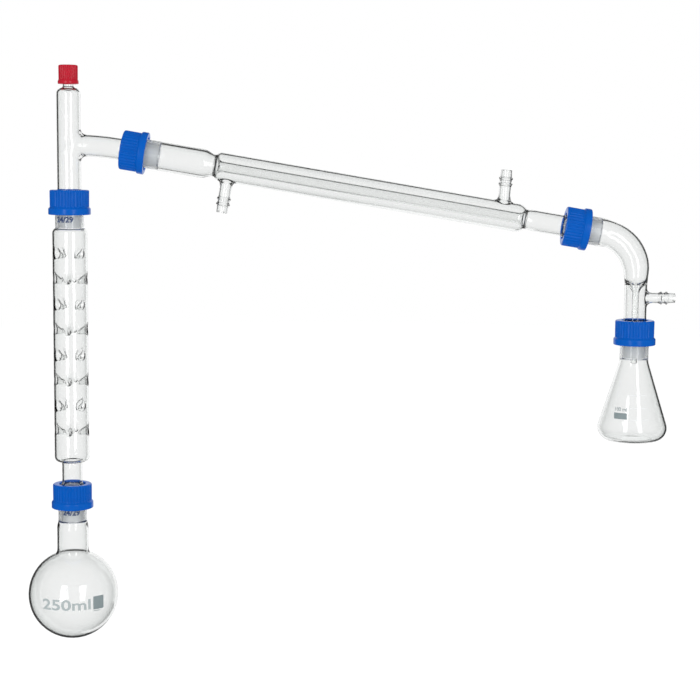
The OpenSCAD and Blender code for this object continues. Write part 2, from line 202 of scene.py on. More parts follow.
def joint_place(name):
    """The place of a ground joint: height 0 at the socket's rim, the cone above it, +X downhill."""
    joint = joints[name]
    z = Vector(joint["axis"])
    level = abs(z.z) > 0.9
    z = z if z.z > 0 and level else -z
    y = Vector((0, 1 if level else -1, 0))
    x = y.cross(z)
    place = Matrix((x, y, z)).transposed().to_4x4()
    place.translation = Vector(joint["pos_m"])
    return place


FLASK = joint_place("column_turn")
COLUMN = joint_place("head_turn")
CONDENSER = joint_place("condenser_turn")
RECEIVER = joint_place("receiver_turn")
CONICAL = joint_place("conical_turn")
RIMS = {"flask": FLASK, "column": COLUMN, "condenser": CONDENSER, "receiver": RECEIVER, "conical": CONICAL}
RIM_Z = FLASK.translation.z / MM
COLUMN_RIM_Z = COLUMN.translation.z / MM
SLOPE = math.asin(abs(CONDENSER.col[2].z))
DOWNHILL = Vector((math.cos(SLOPE), 0, -math.sin(SLOPE)))


# ---------------------------------------------------------------- outlines and meshes

def rounded(points, steps=6):
    """An outline of (radius, height, fillet) points with each corner turned into a short curve."""
    outline = []
    for i, (r, z, fillet) in enumerate(points):
        here = np.array((r, z), float)
        if not fillet or i in (0, len(points) - 1):
            outline.append(here)
            continue
        before = np.array(points[i - 1][:2], float) - here
        after = np.array(points[i + 1][:2], float) - here
        start = here + before * min(0.49, fillet / np.linalg.norm(before))
        end = here + after * min(0.49, fillet / np.linalg.norm(after))
        for t in np.linspace(0, 1, steps):
            outline.append((1 - t) ** 2 * start + 2 * t * (1 - t) * here + t * t * end)
    return np.array(outline)


def refined(outline, step):
    """The outline with its long straight stretches cut into pieces no longer than step."""
    points = [outline[0]]
    for a, b in zip(outline, outline[1:]):
        count = max(1, math.ceil(np.linalg.norm(b - a) / step))
        points += [a + (b - a) * i / count for i in range(1, count + 1)]
    return np.array(points)


def lathe(outline, count, closed=True):
    """Vertices and faces of an outline turned about Z. Points on the axis become poles."""
    angle = np.arange(count) * 2 * math.pi / count
    vertices = []
    rows = []
    for r, z in outline:
        if r < 1e-6:
            rows.append([len(vertices)] * count)
            vertices.append((0, 0, z))
            continue
        rows.append(list(range(len(vertices), len(vertices) + count)))
        vertices += list(zip(r * np.cos(angle), r * np.sin(angle), [z] * count))
    pairs = list(zip(rows, rows[1:]))
    if closed:
        pairs.append((rows[-1], rows[0]))
    faces = []
    for low, high in pairs:
        for i in range(count):
            j = (i + 1) % count
            face = list(dict.fromkeys((low[i], low[j], high[j], high[i])))
            if len(face) > 2:
                faces.append(face)
    return np.array(vertices, float), faces


def polar(points):
    return np.hypot(points[:, 0], points[:, 1]), np.arctan2(points[:, 1], points[:, 0])


def widened(points, out):
    """Points moved away from the axis by out, those on the axis left where they are."""
    scale = 1 + out / np.maximum(polar(points)[0], 1e-6)
    return points * np.stack([scale, scale, np.ones_like(scale)], 1)


def fade(value, start, end):
    """0 before start and 1 after end, with a smooth step between."""
    t = np.clip((value - start) / (end - start), 0, 1)
    return t * t * (3 - 2 * t)


def ridge(angle, height, pitch):
    """The rounded crest of a right-hand thread, from 0 in the groove to 1 on the crest."""
    return (0.5 + 0.5 * np.cos(2 * math.pi * height / pitch - angle)) ** 1.5


def socket_thread(angle, height):
    """How far the thread stands out of a socket whose rim is at height 0."""
    run = fade(height, -THREAD_LENGTH, 2 - THREAD_LENGTH) * fade(-height, 1.0, 2.6)
    return (THREAD_R - SOCKET_R) * ridge(angle, height, THREAD_PITCH) * run


def threaded(points):
    """Raises the thread on the outside of a turned socket."""
    r, angle = polar(points)
    out = np.where(abs(r - SOCKET_R) < 0.2, socket_thread(angle, points[:, 2]), 0)
    return widened(points, out)


def add_mesh(name, vertices, faces, place, body, materials, zones=None, smooth=True, normals=None):
    """A mesh piece from vertices in millimetres at a place, riding on a body.

    zones gives the material's number for each face from the faces' middles.
    """
    matrix = np.array(place)
    co = np.asarray(vertices) @ matrix[:3, :3].T * MM + matrix[:3, 3]
    mesh = bpy.data.meshes.new(name)
    mesh.from_pydata(co.tolist(), [], [list(f) for f in faces])
    piece = bpy.data.objects.new(name, mesh)
    bpy.context.scene.collection.objects.link(piece)
    for material in materials:
        mesh.materials.append(material)
    if zones is not None:
        middles = np.array([np.mean([vertices[v] for v in f], axis=0) for f in faces])
        mesh.polygons.foreach_set("material_index", np.asarray(zones(middles), np.int32))
    mesh.polygons.foreach_set("use_smooth", [smooth] * len(mesh.polygons))
    mesh.update()
    if normals is not None:
        mesh.normals_split_custom_set_from_vertices((normals @ matrix[:3, :3].T).tolist())
    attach(piece, body)
    return piece


# ---------------------------------------------------------------- solids as distance fields, in millimetres

def melt(a, b, soft):
    """The union of two fields with a fillet."""
    near = np.maximum(soft - abs(a - b), 0)
    return np.minimum(a, b) - near * near / (4 * soft)


def carve(a, b, soft=0.5):
    """Field a with field b cut out of it and the edge rounded."""
    return -melt(-a, b, soft)


def rod(r, a, low, high, radius, edge=0.4):
    """A round bar with rounded ends, from its distance from the axis and its place along it."""
    dr = r - (radius - edge)
    da = abs(a - (low + high) / 2) - ((high - low) / 2 - edge)
    return np.hypot(np.maximum(dr, 0), np.maximum(da, 0)) + np.minimum(np.maximum(dr, da), 0) - edge


def turned(r, a, points, extra=0, fillet=1.2):
    """A bar whose radius follows (radius, place) points with their corners rounded."""
    outline = rounded([(radius, at, fillet) for radius, at in points])
    at, radius = outline[:, 1], outline[:, 0]
    field = r - np.interp(a, at, radius) - extra
    return np.maximum(field, np.maximum(at[0] - a, a - at[-1]))


def along(p, origin, direction):
    """Distance from an axis and place along it."""
    x, y, z = p[0] - origin[0], p[1] - origin[1], p[2] - origin[2]
    a = x * direction[0] + y * direction[1] + z * direction[2]
    square = x * x + y * y + z * z - a * a
    return np.sqrt(np.maximum(square, 0)), a


def along_bend(p, start, d1, straight, bend_r, turn):
    """Distance from a line that runs straight, bends down by turn in the XZ plane and runs straight on."""
    d1 = np.array(d1, float)
    side = np.array((d1[2], 0, -d1[0]))
    c, s = math.cos(turn), math.sin(turn)
    d2 = d1 * c + side * s
    centre = np.array(start, float) + d1 * straight + side * bend_r
    exit_point = centre - (side * c - d1 * s) * bend_r
    r1, a1 = along(p, start, d1)
    r2, a2 = along(p, exit_point, d2)
    x, z = p[0] - centre[0], p[2] - centre[2]
    forward = x * d1[0] + z * d1[2]
    up = -(x * side[0] + z * side[2])
    angle = np.arctan2(forward, up)
    r3 = np.hypot(np.hypot(forward, up) - bend_r, p[1])
    first = (a1 <= straight) & (angle < turn / 2 + math.pi / 2)
    last = ~first & (a2 >= 0)
    r = np.where(first, r1, np.where(last, r2, r3))
    a = np.where(first, a1, np.where(last, straight + bend_r * turn + a2, straight + bend_r * angle))
    return r, a


def steps(*spans):
    """Grid lines from spans of (start, size), the last giving the end."""
    lines = []
    for (start, size), (end, _) in zip(spans, spans[1:]):
        lines.append(np.linspace(start, end, max(1, round((end - start) / size)), endpoint=False))
    return np.concatenate(lines + [[spans[-1][0]]])


def slope_of(field, p, reach=0.03):
    parts = []
    for i in range(3):
        ahead, behind = list(p), list(p)
        ahead[i] = p[i] + reach
        behind[i] = p[i] - reach
        parts.append((field(ahead) - field(behind)) / (2 * reach))
    return parts


def settled(field, p, rounds):
    """Points moved onto the surface where the field is 0."""
    for _ in range(rounds):
        value = field(p)
        slope = slope_of(field, p)
        size = slope[0] ** 2 + slope[1] ** 2 + slope[2] ** 2 + 1e-9
        move = np.clip(value / size, -0.6, 0.6)
        p = [p[i] - move * slope[i] for i in range(3)]
    return p


def skin(field, xs, ys, zs):
    """The surface where a field is 0: a surface net moved onto it, as points, quads and normals."""
    inside = field(np.meshgrid(xs, ys, zs, indexing="ij")) < 0
    shape = tuple(n - 1 for n in inside.shape)
    corners = np.zeros(shape, np.int8)
    for i in (0, 1):
        for j in (0, 1):
            for k in (0, 1):
                corners += inside[i:shape[0] + i, j:shape[1] + j, k:shape[2] + k]
    mixed = (corners > 0) & (corners < 8)
    index = np.full(shape, -1)
    index[mixed] = np.arange(mixed.sum())
    i, j, k = np.nonzero(mixed)
    p = [(lines[n] + lines[n + 1]) / 2 for lines, n in ((xs, i), (ys, j), (zs, k))]
    quads = []
    for axis in range(3):
        u, v = (axis + 1) % 3, (axis + 2) % 3
        low = inside.take(range(inside.shape[axis] - 1), axis)
        high = inside.take(range(1, inside.shape[axis]), axis)
        at = np.array(np.nonzero(low != high))
        inner = (at[u] > 0) & (at[v] > 0) & (at[u] < shape[u]) & (at[v] < shape[v])
        at = at[:, inner]
        ring = []
        for du, dv in ((1, 1), (0, 1), (0, 0), (1, 0)):
            cell = at.copy()
            cell[u] -= du
            cell[v] -= dv
            ring.append(index[tuple(cell)])
        flip = ~low[tuple(at)]
        ring = np.stack(ring, 1)
        ring[flip] = ring[flip][:, ::-1]
        quads.append(ring)
    quads = np.concatenate(quads)
    p = settled(field, p, 4)
    for _ in range(2):
        p = settled(field, relaxed(p, quads), 2)
    normals = np.stack(slope_of(field, p, 0.2), 1)
    normals /= np.linalg.norm(normals, axis=1)[:, None] + 1e-9
    return np.stack(p, 1), quads, normals


def relaxed(p, quads):
    """Each point moved half way to the middle of its neighbours."""
    a = quads.ravel()
    b = np.roll(quads, 1, axis=1).ravel()
    count = np.bincount(a, minlength=len(p[0])) + np.bincount(b, minlength=len(p[0]))
    out = []
    for c in p:
        total = np.bincount(a, c[b], len(c)) + np.bincount(b, c[a], len(c))
        out.append((c + total / np.maximum(count, 1)) / 2)
    return out


# ---------------------------------------------------------------- materials

def principled(name, colour, roughness=0.5, **sockets):
    """A material with one Principled shader and its plain values set on the sockets."""
    material = bpy.data.materials.new(name)
    material.use_nodes = True
    shader = material.node_tree.nodes["Principled BSDF"]
    shader.inputs["Base Color"].default_value = (*colour, 1)
    shader.inputs["Roughness"].default_value = roughness
    for socket, value in sockets.items():
        shader.inputs[socket.replace("_", " ")].default_value = value
    return material, material.node_tree, shader


def noise(tree, size, detail=3.0):
    """A noise whose spots are about size metres across, fixed to the piece."""
    place = tree.nodes.new("ShaderNodeTexCoord")
    texture = tree.nodes.new("ShaderNodeTexNoise")
    texture.inputs["Scale"].default_value = 1 / size
    texture.inputs["Detail"].default_value = detail
    tree.links.new(place.outputs["Object"], texture.inputs["Vector"])
    return texture.outputs["Fac"]


def spread(tree, value, low, high):
    """A noise value moved from its usual range to low..high."""
    remap = tree.nodes.new("ShaderNodeMapRange")
    remap.inputs["From Min"].default_value = 0.3
    remap.inputs["From Max"].default_value = 0.7
    remap.inputs["To Min"].default_value = low
    remap.inputs["To Max"].default_value = high
    tree.links.new(value, remap.inputs["Value"])
    return remap.outputs["Result"]


def mixed_colour(tree, factor, first, second):
    mix = tree.nodes.new("ShaderNodeMix")
    mix.data_type = "RGBA"
    mix.inputs[6].default_value = (*first, 1)
    mix.inputs[7].default_value = (*second, 1)
    tree.links.new(factor, mix.inputs["Factor"])
    return mix.outputs[2]


def bump(tree, shader, height, strength, distance):
    node = tree.nodes.new("ShaderNodeBump")
    node.inputs["Strength"].default_value = strength
    node.inputs["Distance"].default_value = distance
    tree.links.new(height, node.inputs["Height"])
    tree.links.new(node.outputs["Normal"], shader.inputs["Normal"])


def clear_glass():
    """Borosilicate glass: clear, with painted dark grey-green shade where it is seen edge-on to draw its
    outlines, and a faint blown waviness.
    """
    material, tree, shader = principled("borosilicate_glass", (1, 1, 1), 0.0, IOR=1.47)
    shader.inputs["Transmission Weight"].default_value = 1
    # Painted shade: the colour turns dark grey-green towards grazing angles, giving every edge a dark
    # outline
    facing = tree.nodes.new("ShaderNodeLayerWeight")
    facing.inputs["Blend"].default_value = 0.12
    colour = mixed_colour(tree, facing.outputs["Facing"], (0.995, 1, 0.997), (0.62, 0.68, 0.66))
    tree.links.new(colour, shader.inputs["Base Color"])
    bump(tree, shader, noise(tree, 0.03, 1.0), 0.012, 0.001)
    return material


def ground_glass():
    """The frosted zone of a ground joint, light grey with painted shade darkening it towards its edges."""
    material, tree, shader = principled("ground_glass", (0.93, 0.94, 0.94), 0.5, IOR=1.47)
    shader.inputs["Transmission Weight"].default_value = 0.8
    tree.links.new(spread(tree, noise(tree, 0.0006), 0.36, 0.56), shader.inputs["Roughness"])
    # Painted shade: the frosted grey turns much darker where the band is seen edge-on
    facing = tree.nodes.new("ShaderNodeLayerWeight")
    facing.inputs["Blend"].default_value = 0.35
    colour = mixed_colour(tree, facing.outputs["Facing"], (0.7, 0.72, 0.73), (0.26, 0.28, 0.28))
    tree.links.new(colour, shader.inputs["Base Color"])
    return material


def moulded(name, colour, darker, roughness=0.3, gloss=0.5):
    """Moulded plastic with faint colour and gloss variation and a fine texture."""
    material, tree, shader = principled(name, colour, roughness, Specular_IOR_Level=gloss)
    tree.links.new(mixed_colour(tree, noise(tree, 0.012), colour, darker), shader.inputs["Base Color"])
    uneven = spread(tree, noise(tree, 0.002), roughness - 0.05, roughness + 0.07)
    tree.links.new(uneven, shader.inputs["Roughness"])
    bump(tree, shader, noise(tree, 0.0015), 0.02, 0.0002)
    return material


def ink(name, colour, thin):
    """Fired-on ink, a little patchy where it is thin."""
    material, tree, shader = principled(name, colour, 0.45)
    tree.links.new(mixed_colour(tree, noise(tree, 0.0015), colour, thin), shader.inputs["Base Color"])
    return material


GLASS = clear_glass()
FROST = ground_glass()
BLUE = moulded("blue_polypropylene", (0.0, 0.09, 0.44), (0.0, 0.073, 0.36), 0.2, 0.17)
DARK_BLUE = moulded("dark_blue_plastic", (0.002, 0.02, 0.09), (0.002, 0.015, 0.07))
RED = moulded("red_polypropylene", (0.47, 0.012, 0.03), (0.36, 0.008, 0.02), 0.2, 0.3)
SILICONE = moulded("silicone_rubber", (0.72, 0.72, 0.68), (0.62, 0.62, 0.58), 0.5)
PTFE = moulded("ptfe", (0.85, 0.85, 0.83), (0.78, 0.78, 0.77), 0.42)
GREY_INK = ink("grey_green_ink", (0.16, 0.2, 0.21), (0.24, 0.29, 0.3))
BLUE_INK = ink("dark_blue_ink", (0.015, 0.04, 0.13), (0.035, 0.07, 0.18))
PALE_INK = ink("pale_grey_ink", (0.3, 0.345, 0.35), (0.4, 0.45, 0.455))
FAINT_INK = ink("faint_grey_ink", (0.6, 0.63, 0.64), (0.75, 0.77, 0.78))


# ---------------------------------------------------------------- turned glass

def socket_outside(rim):
    """The outside of a socket as outline points going up to its rim, the thread still flat."""
    return [
        (SOCKET_R, rim - GROUND_END, 1.5), (SOCKET_R, rim - 1.7, 0.3), (LIP_R, rim - 1.3, 0.3),
        (LIP_R, rim - 0.05, 0.5), (CONE_R + CLEARANCE + 0.02, rim - 0.05, 0.5),
    ]


def socket_inside(rim, bore_r):
    """The ground hole of a socket as outline points going down from its rim."""
    end_r = CONE_R + CLEARANCE - GROUND_END * TAPER
    return [
        (CONE_R + CLEARANCE - 0.6 * TAPER, rim - 0.6, 0), (end_r, rim - GROUND_END, 0.4),
        (bore_r, rim - GROUND_END - 2, 1),
    ]


def is_ground(r, depth):
    """True on the ground faces of a joint whose rim is at depth 0."""
    face_r = CONE_R - depth * TAPER
    return (depth > -1.1) & (depth < GROUND_END) & (r > face_r - 0.12) & (r < face_r + 0.14)


def ball_outline(ball_r, neck_r, centre):
    """A ball's side from its lowest point up to a flared neck."""
    top = math.acos(BALL_SHOULDER_R / BALL_R)
    arc = [
        (ball_r * math.cos(t), centre + ball_r * math.sin(t), 0)
        for t in np.linspace(-math.pi / 2, top, 72)
    ]
    r, z = arc[-1][:2]
    corner_z = z + (r - neck_r) / math.tan(top)
    arc[0] = (0, centre - ball_r, 0)
    return arc + [(neck_r, corner_z, 7), (neck_r, corner_z + 9, 0)]


def boiling_flask():
    centre = -(RIM_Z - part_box("boiling_flask")[0].z / MM) + BALL_R
    outside = ball_outline(BALL_R, NECK_R, centre)
    shoulder = [(NECK_R, -GROUND_END - 6, 3), (SOCKET_R, -GROUND_END - 0.5, 2)]
    inside = ball_outline(BALL_R - BALL_WALL, NECK_R - WALL, centre)
    outline = rounded(
        outside + shoulder + socket_outside(0) + socket_inside(0, NECK_R - WALL - 0.3) + inside[::-1]
    )
    vertices, faces = lathe(refined(outline, 1.2), 144, closed=False)

    def zones(p):
        return is_ground(polar(p)[0], -p[:, 2])

    piece = add_mesh("flask_glass", threaded(vertices), faces, FLASK, "flask", [GLASS, FROST], zones)
    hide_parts("boiling_flask")


def dented(points):
    """Pushes the column's wall in and down at each dent."""
    r, angle = polar(points)
    z = points[:, 2]
    push = np.zeros(len(points))
    wall = r > COLUMN_R - WALL - 0.1
    for level in range(DENT_LEVELS):
        for i in range(DENTS_PER_LEVEL):
            turn = (i + 0.5 * (level % 2)) * 2 * math.pi / DENTS_PER_LEVEL
            across = COLUMN_R * (np.mod(angle - turn + math.pi, 2 * math.pi) - math.pi)
            up = z - DENT_FIRST_Z - level * DENT_PITCH
            away = np.hypot(across, up) / DENT_R
            push = np.maximum(push, np.where(wall, (1 - fade(away, 0.12, 1.0)) ** 0.9, 0))
    narrow = 1 - push * DENT_DEPTH / r
    return np.stack([points[:, 0] * narrow, points[:, 1] * narrow, z - push * DENT_FALL], 1)


def cone_outside(rim, tube_r):
    """A ground cone's outside as outline points going up from its tip, its rim height given."""
    return [
        (CONE_R - JOINT_LENGTH * TAPER, rim - JOINT_LENGTH, 0.6), (CONE_R + 0.06, rim + 1.15, 0.5),
        (SHOULDER_R, rim + 1.8, 0.5), (SHOULDER_R, rim + 3.9, 1.5), (tube_r, rim + 7, 1.5),
    ]


def cone_inside(rim, tube_r):
    """The bore of a ground cone as outline points going down to its tip."""
    return [
        (tube_r - WALL, rim + 7.5, 1), (min(CONE_BORE_R, tube_r - WALL), rim + 6, 1),
        (CONE_BORE_R, rim - 1.8, 2), (CONE_TIP_BORE_R, rim - JOINT_LENGTH, 0.6),
    ]


def shoulder(z, inset, start, end):
    """The column's rounded shoulder, whose curve is centred at height z, from one angle to another."""
    r = CORNER - inset
    return [
        (COLUMN_R - CORNER + r * math.cos(t), z + r * math.sin(t), 0)
        for t in np.linspace(start, end, 9)
    ]


def vigreux_column():
    top = COLUMN_RIM_Z - GROUND_END - CORNER
    low = COLUMN_BOTTOM_Z + CORNER
    meets_socket = math.acos((SOCKET_R - COLUMN_R + CORNER) / CORNER)
    outline = rounded(
        cone_outside(RIM_Z, COLUMN_TUBE_R)
        + [(COLUMN_TUBE_R, COLUMN_BOTTOM_Z, 1.5)]
        + shoulder(low, 0, -math.pi / 2, 0)
        + shoulder(top, 0, 0, meets_socket)
        + socket_outside(COLUMN_RIM_Z)
        + socket_inside(COLUMN_RIM_Z, SOCKET_BORE_R)
        + shoulder(top, WALL, 1.03, 0)
        + shoulder(low, WALL, 0, -math.pi / 2)
        + [(COLUMN_TUBE_R - WALL, COLUMN_BOTTOM_Z + WALL, 1)]
        + cone_inside(RIM_Z, COLUMN_TUBE_R)
    )
    vertices, faces = lathe(refined(outline, 0.85), 160)
    rim = np.array((0, 0, COLUMN_RIM_Z))
    points = threaded(dented(vertices) - rim) + rim

    def zones(p):
        r = polar(p)[0]
        return is_ground(r, RIM_Z - p[:, 2]) | is_ground(r, COLUMN_RIM_Z - p[:, 2])

    world = Matrix.Identity(4)
    piece = add_mesh("column_glass", points, faces, world, "column", [GLASS, FROST], zones)
    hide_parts("vigreux_column")


def conical_flask():
    base = -CONICAL_HEIGHT

    def side(inset, floor, punt):
        """The flask's outline from the middle of its base up to its neck."""
        r = CONICAL_CORNER_R - inset
        x = CONICAL_R - CONICAL_CORNER_R
        z = base + CONICAL_CORNER_R
        top = -GROUND_END - 4
        lean = math.atan((x + CONICAL_CORNER_R - SOCKET_R) / (top - z))
        arc = [
            (x + r * math.cos(t), z + r * math.sin(t), 0)
            for t in np.linspace(-math.pi / 2 + 0.05, lean, 16)
        ]
        return [(0, base + floor + punt, 0), (x - 4, base + floor, 8)] + arc + [(SOCKET_R - inset, top, 5)]

    outline = rounded(
        side(0, 0, 1.4) + socket_outside(0) + socket_inside(0, SOCKET_R - WALL)
        + side(WALL, 1.8, 1.4)[::-1]
    )
    vertices, faces = lathe(refined(outline, 1.2), 144, closed=False)

    def zones(p):
        return is_ground(polar(p)[0], -p[:, 2])

    piece = add_mesh("conical_glass", threaded(vertices), faces, CONICAL, "conical", [GLASS, FROST], zones)
    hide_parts("conical_flask")


# ---------------------------------------------------------------- joined glass: head, condenser, receiver

# How far behind its rim a cone's own outline starts, inside the tube it is joined to
CONE_LEAD = 14


def flipped(points, rim):
    """Outline points measured up from a rim, as (radius, distance past the rim) going the other way."""
    return [(r, rim - z) for r, z, _ in points]


def cone_along(r, a, rim, tube_r):
    """A cone's outside along a flow coordinate a, with its rim at a = rim."""
    points = flipped(cone_outside(0, tube_r), rim)[::-1]
    return turned(r, a, [(tube_r, rim - CONE_LEAD)] + points, fillet=0.6)


def cone_bore_along(r, a, rim, tube_r):
    """A cone's bore along a flow coordinate a, running out past its tip."""
    points = [(tube_r - WALL, rim - CONE_LEAD)] + flipped(cone_inside(0, tube_r), rim)
    return turned(r, a, points + [(CONE_TIP_BORE_R, rim + JOINT_LENGTH + 2)], fillet=0.6)


def socket_along(r, a, angle, end):
    """A threaded socket's outside from its rim at a = 0 to end."""
    points = [(LIP_R, 0.05), (LIP_R, 1.3), (SOCKET_R, 1.7), (SOCKET_R, end)]
    return turned(r, a, points, extra=socket_thread(angle, -a), fillet=0.5)


def socket_bore_along(r, a, bore_r, end):
    """A socket's ground hole from its rim at a = 0, and its bore behind it to end."""
    fit = CONE_R + CLEARANCE
    points = [
        (fit + TAPER, -1), (fit - GROUND_END * TAPER, GROUND_END),
        (bore_r, GROUND_END + 2), (bore_r, end),
    ]
    return turned(r, a, points, fillet=0.6)


def nozzle_along(r, a, tube_r, tip, own_r):
    """A hose nozzle's outside along its axis from the middle of its tube."""
    high = tip - BARB_TO_TIP
    low = high - BARB_GAP
    root_r = own_r + NOZZLE_ROOT
    points = [(root_r, tube_r - 2), (root_r, tube_r - 0.5), (own_r, tube_r + 5)]
    for barb in (low, high):
        points += [(own_r, barb - BARB_RAMP), (own_r + BARB_RISE, barb), (own_r, barb + BARB_BACK)]
    return turned(r, a, points + [(own_r - 0.5, tip)], fillet=0.4)


def still_head():
    """Cone, upright tube with the thermometer's port, and the side arm with its cone, as one blown piece."""
    start = Vector((0, 0, ARM_Z))
    rim = CONDENSER.translation / MM
    end = rim - DOWNHILL * ARM_START
    bend_r = (start.z - end.z) / (1 - math.cos(SLOPE))
    straight = end.x - bend_r * math.sin(SLOPE)
    arm_rim = straight + bend_r * SLOPE + ARM_START

    port_rim = HEAD_TOP_Z + PORT_RISE
    port_points = [
        (PORT_NECK_R, HEAD_TOP_Z - 3), (PORT_NECK_R, HEAD_TOP_Z + 6.2),
        (PORT_CORE_R, HEAD_TOP_Z + 7.6), (PORT_CORE_R, port_rim),
    ]

    def field(p):
        r, z = along(p, (0, 0, 0), (0, 0, 1))
        ra, a = along_bend(p, tuple(start), (1, 0, 0), straight, bend_r, SLOPE)
        angle = np.arctan2(p[1], p[0])
        run = fade(z, HEAD_TOP_Z + 7, HEAD_TOP_Z + 9) * fade(port_rim - z, 0.8, 2)
        crest = (PORT_R - PORT_CORE_R) * ridge(angle, z, PORT_PITCH) * run
        port = turned(r, z, port_points, extra=crest, fillet=0.8)
        body = rod(r, z, COLUMN_RIM_Z - 6, HEAD_TOP_Z, HEAD_R, CORNER)
        outside = np.minimum(melt(body, port, 2.5), cone_along(r, -z, -COLUMN_RIM_Z, HEAD_R))
        outside = melt(outside, np.maximum(cone_along_arm(ra, a), 1 - a), 6)
        hollow = rod(r, z, COLUMN_RIM_Z, HEAD_TOP_Z - WALL, HEAD_R - WALL, CORNER - WALL)
        hollow = np.minimum(hollow, cone_bore_along(r, -z, -COLUMN_RIM_Z, HEAD_R))
        hollow = melt(hollow, rod(r, z, HEAD_TOP_Z - 8, port_rim + 2, PORT_BORE_R), 1.5)
        bore = turned(ra, a, [(ARM_R - WALL, 0), (ARM_R - WALL, arm_rim - 13)])
        hollow = melt(hollow, np.minimum(bore, cone_bore_along(ra, a, arm_rim, ARM_R)), 4)
        return carve(outside, hollow)

    def cone_along_arm(ra, a):
        tube = turned(ra, a, [(ARM_R, 0), (ARM_R, arm_rim - 13)])
        return np.minimum(tube, cone_along(ra, a, arm_rim, ARM_R))

    low = COLUMN_RIM_Z - JOINT_LENGTH
    arm_z = start.z
    xs = steps((-13.5, 0.6), (16, 1.0), (51, 0.6), (58, 1.2), (85, 0))
    ys = steps((-13.5, 0.6), (13.5, 0))
    zs = steps(
        (low - 1, 0.6), (low + 1, 2.5), (COLUMN_RIM_Z - 2, 0.55), (COLUMN_RIM_Z + 8, 0.6),
        (arm_z + 15, 2.2), (HEAD_TOP_Z - 7, 0.55), (HEAD_TOP_Z + PORT_RISE + 1, 0),
    )
    points, quads, normals = skin(field, xs, ys, zs)

    def zones(p):
        r, z = along(p.T, (0, 0, 0), (0, 0, 1))
        ra, a = along_bend(p.T, tuple(start), (1, 0, 0), straight, bend_r, SLOPE)
        return is_ground(r, COLUMN_RIM_Z - z) | (is_ground(ra, a - arm_rim) & (a > 20))

    world = Matrix.Identity(4)
    piece = add_mesh("head_glass", points, quads, world, "head", [GLASS, FROST], zones, normals=normals)
    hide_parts("still_head")


def condenser():
    """Socket, pinch, inner tube, jacket with its two hose nozzles, and cone, as one blown piece."""
    rim = CONDENSER_LENGTH
    outlet_way = (-math.cos(OUTLET_LEAN), 0, math.sin(OUTLET_LEAN))
    tube = [
        (SOCKET_R, 20), (SOCKET_R, SOCKET_TUBE_END), (PINCH_R, PINCH_AT), (PINCH_R, JACKET_START + 1),
        (INNER_R, JACKET_START + UPPER_FUNNEL), (INNER_R, JACKET_END - LOWER_FUNNEL),
        (TAIL_R, JACKET_END - 1), (TAIL_R, JACKET_END),
        (TAIL_TUBE_R, JACKET_END + TAIL_FLARE), (TAIL_TUBE_R, rim - 12),
    ]
    bore = [
        (SOCKET_BORE_R, 30), (SOCKET_BORE_R, SOCKET_TUBE_END), (PINCH_R - WALL, PINCH_AT),
        (PINCH_R - WALL, JACKET_START), (INNER_BORE_R, JACKET_START + UPPER_FUNNEL - 1),
        (INNER_BORE_R, JACKET_END - LOWER_FUNNEL), (TAIL_R - WALL, JACKET_END - 0.5),
        (TAIL_TUBE_R - WALL, JACKET_END + TAIL_FLARE), (TAIL_TUBE_R - WALL, rim - 12),
    ]

    def jacket_bar(r, a, inset):
        """The jacket's outside, or with an inset its inside: a small corner above and a dome below."""
        ends = (JACKET_START + inset, JACKET_END - inset, JACKET_R - inset)
        upper = rod(r, a, *ends, CORNER - inset)
        lower = rod(r, a, *ends, DOME_R - inset)
        return np.where(a < OUTLET_AT - 50, upper, lower)

    def field(p):
        r, z = along(p, (0, 0, 0), (0, 0, 1))
        a = -z
        angle = np.arctan2(p[1], p[0])
        wall = turned(r, a, tube, fillet=3)
        socket = socket_along(r, a, angle, 25)
        shell = jacket_bar(r, a, 0)
        ri, ai = along(p, (0, 0, -INLET_AT), (1, 0, 0))
        ro, ao = along(p, (0, 0, -OUTLET_AT), outlet_way)
        nozzles = np.minimum(
            nozzle_along(ri, ai, JACKET_R, NOZZLE_REACH, NOZZLE_R),
            nozzle_along(ro, ao, JACKET_R, NOZZLE_REACH, NOZZLE_R),
        )
        shell = melt(shell, nozzles, 3)
        outside = np.minimum(melt(wall, shell, 1.5), socket)
        outside = np.minimum(outside, cone_along(r, a, rim, TAIL_TUBE_R))
        water = jacket_bar(r, a, WALL)
        hoses = np.minimum(
            rod(ri, ai, JACKET_R - 3, NOZZLE_REACH + 2, NOZZLE_BORE_R),
            rod(ro, ao, JACKET_R - 3, NOZZLE_REACH + 2, NOZZLE_BORE_R),
        )
        water = melt(carve(water, wall, 1.5), hoses, 1.5)
        vapour = np.minimum(turned(r, a, bore, fillet=3), socket_bore_along(r, a, SOCKET_BORE_R, 40))
        vapour = np.minimum(vapour, cone_bore_along(r, a, rim, TAIL_TUBE_R))
        return carve(carve(outside, vapour), water)

    end = rim + JOINT_LENGTH
    xs = steps((-43, 0.5), (-25, 0.8), (-15.2, 0.6), (15.2, 0.8), (25, 0.5), (43, 0))
    ys = steps((-15.2, 0.6), (15.2, 0))
    zs = steps(
        (-end - 1, 0.7), (-end + 1, 2.4), (-rim - 2, 0.6), (-rim + 8, 2),
        (-JACKET_END - 13, 1.2), (-JACKET_END - 2, 0.6), (-OUTLET_AT + 10, 4),
        (-INLET_AT - 9, 0.65), (-PINCH_AT + 12, 3), (-GROUND_END - 4, 0.7),
        (-GROUND_END + 2, 1.8), (-THREAD_LENGTH - 1, 0.6), (0.7, 0),
    )
    points, quads, normals = skin(field, xs, ys, zs)

    def zones(p):
        r, depth = polar(p)[0], -p[:, 2]
        return is_ground(r, depth) | is_ground(r, depth - rim)

    piece = add_mesh(
        "condenser_glass", points, quads, CONDENSER, "condenser", [GLASS, FROST], zones, normals=normals
    )
    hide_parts("condenser_tube", "condenser_jacket", "inlet_nozzle", "outlet_nozzle")


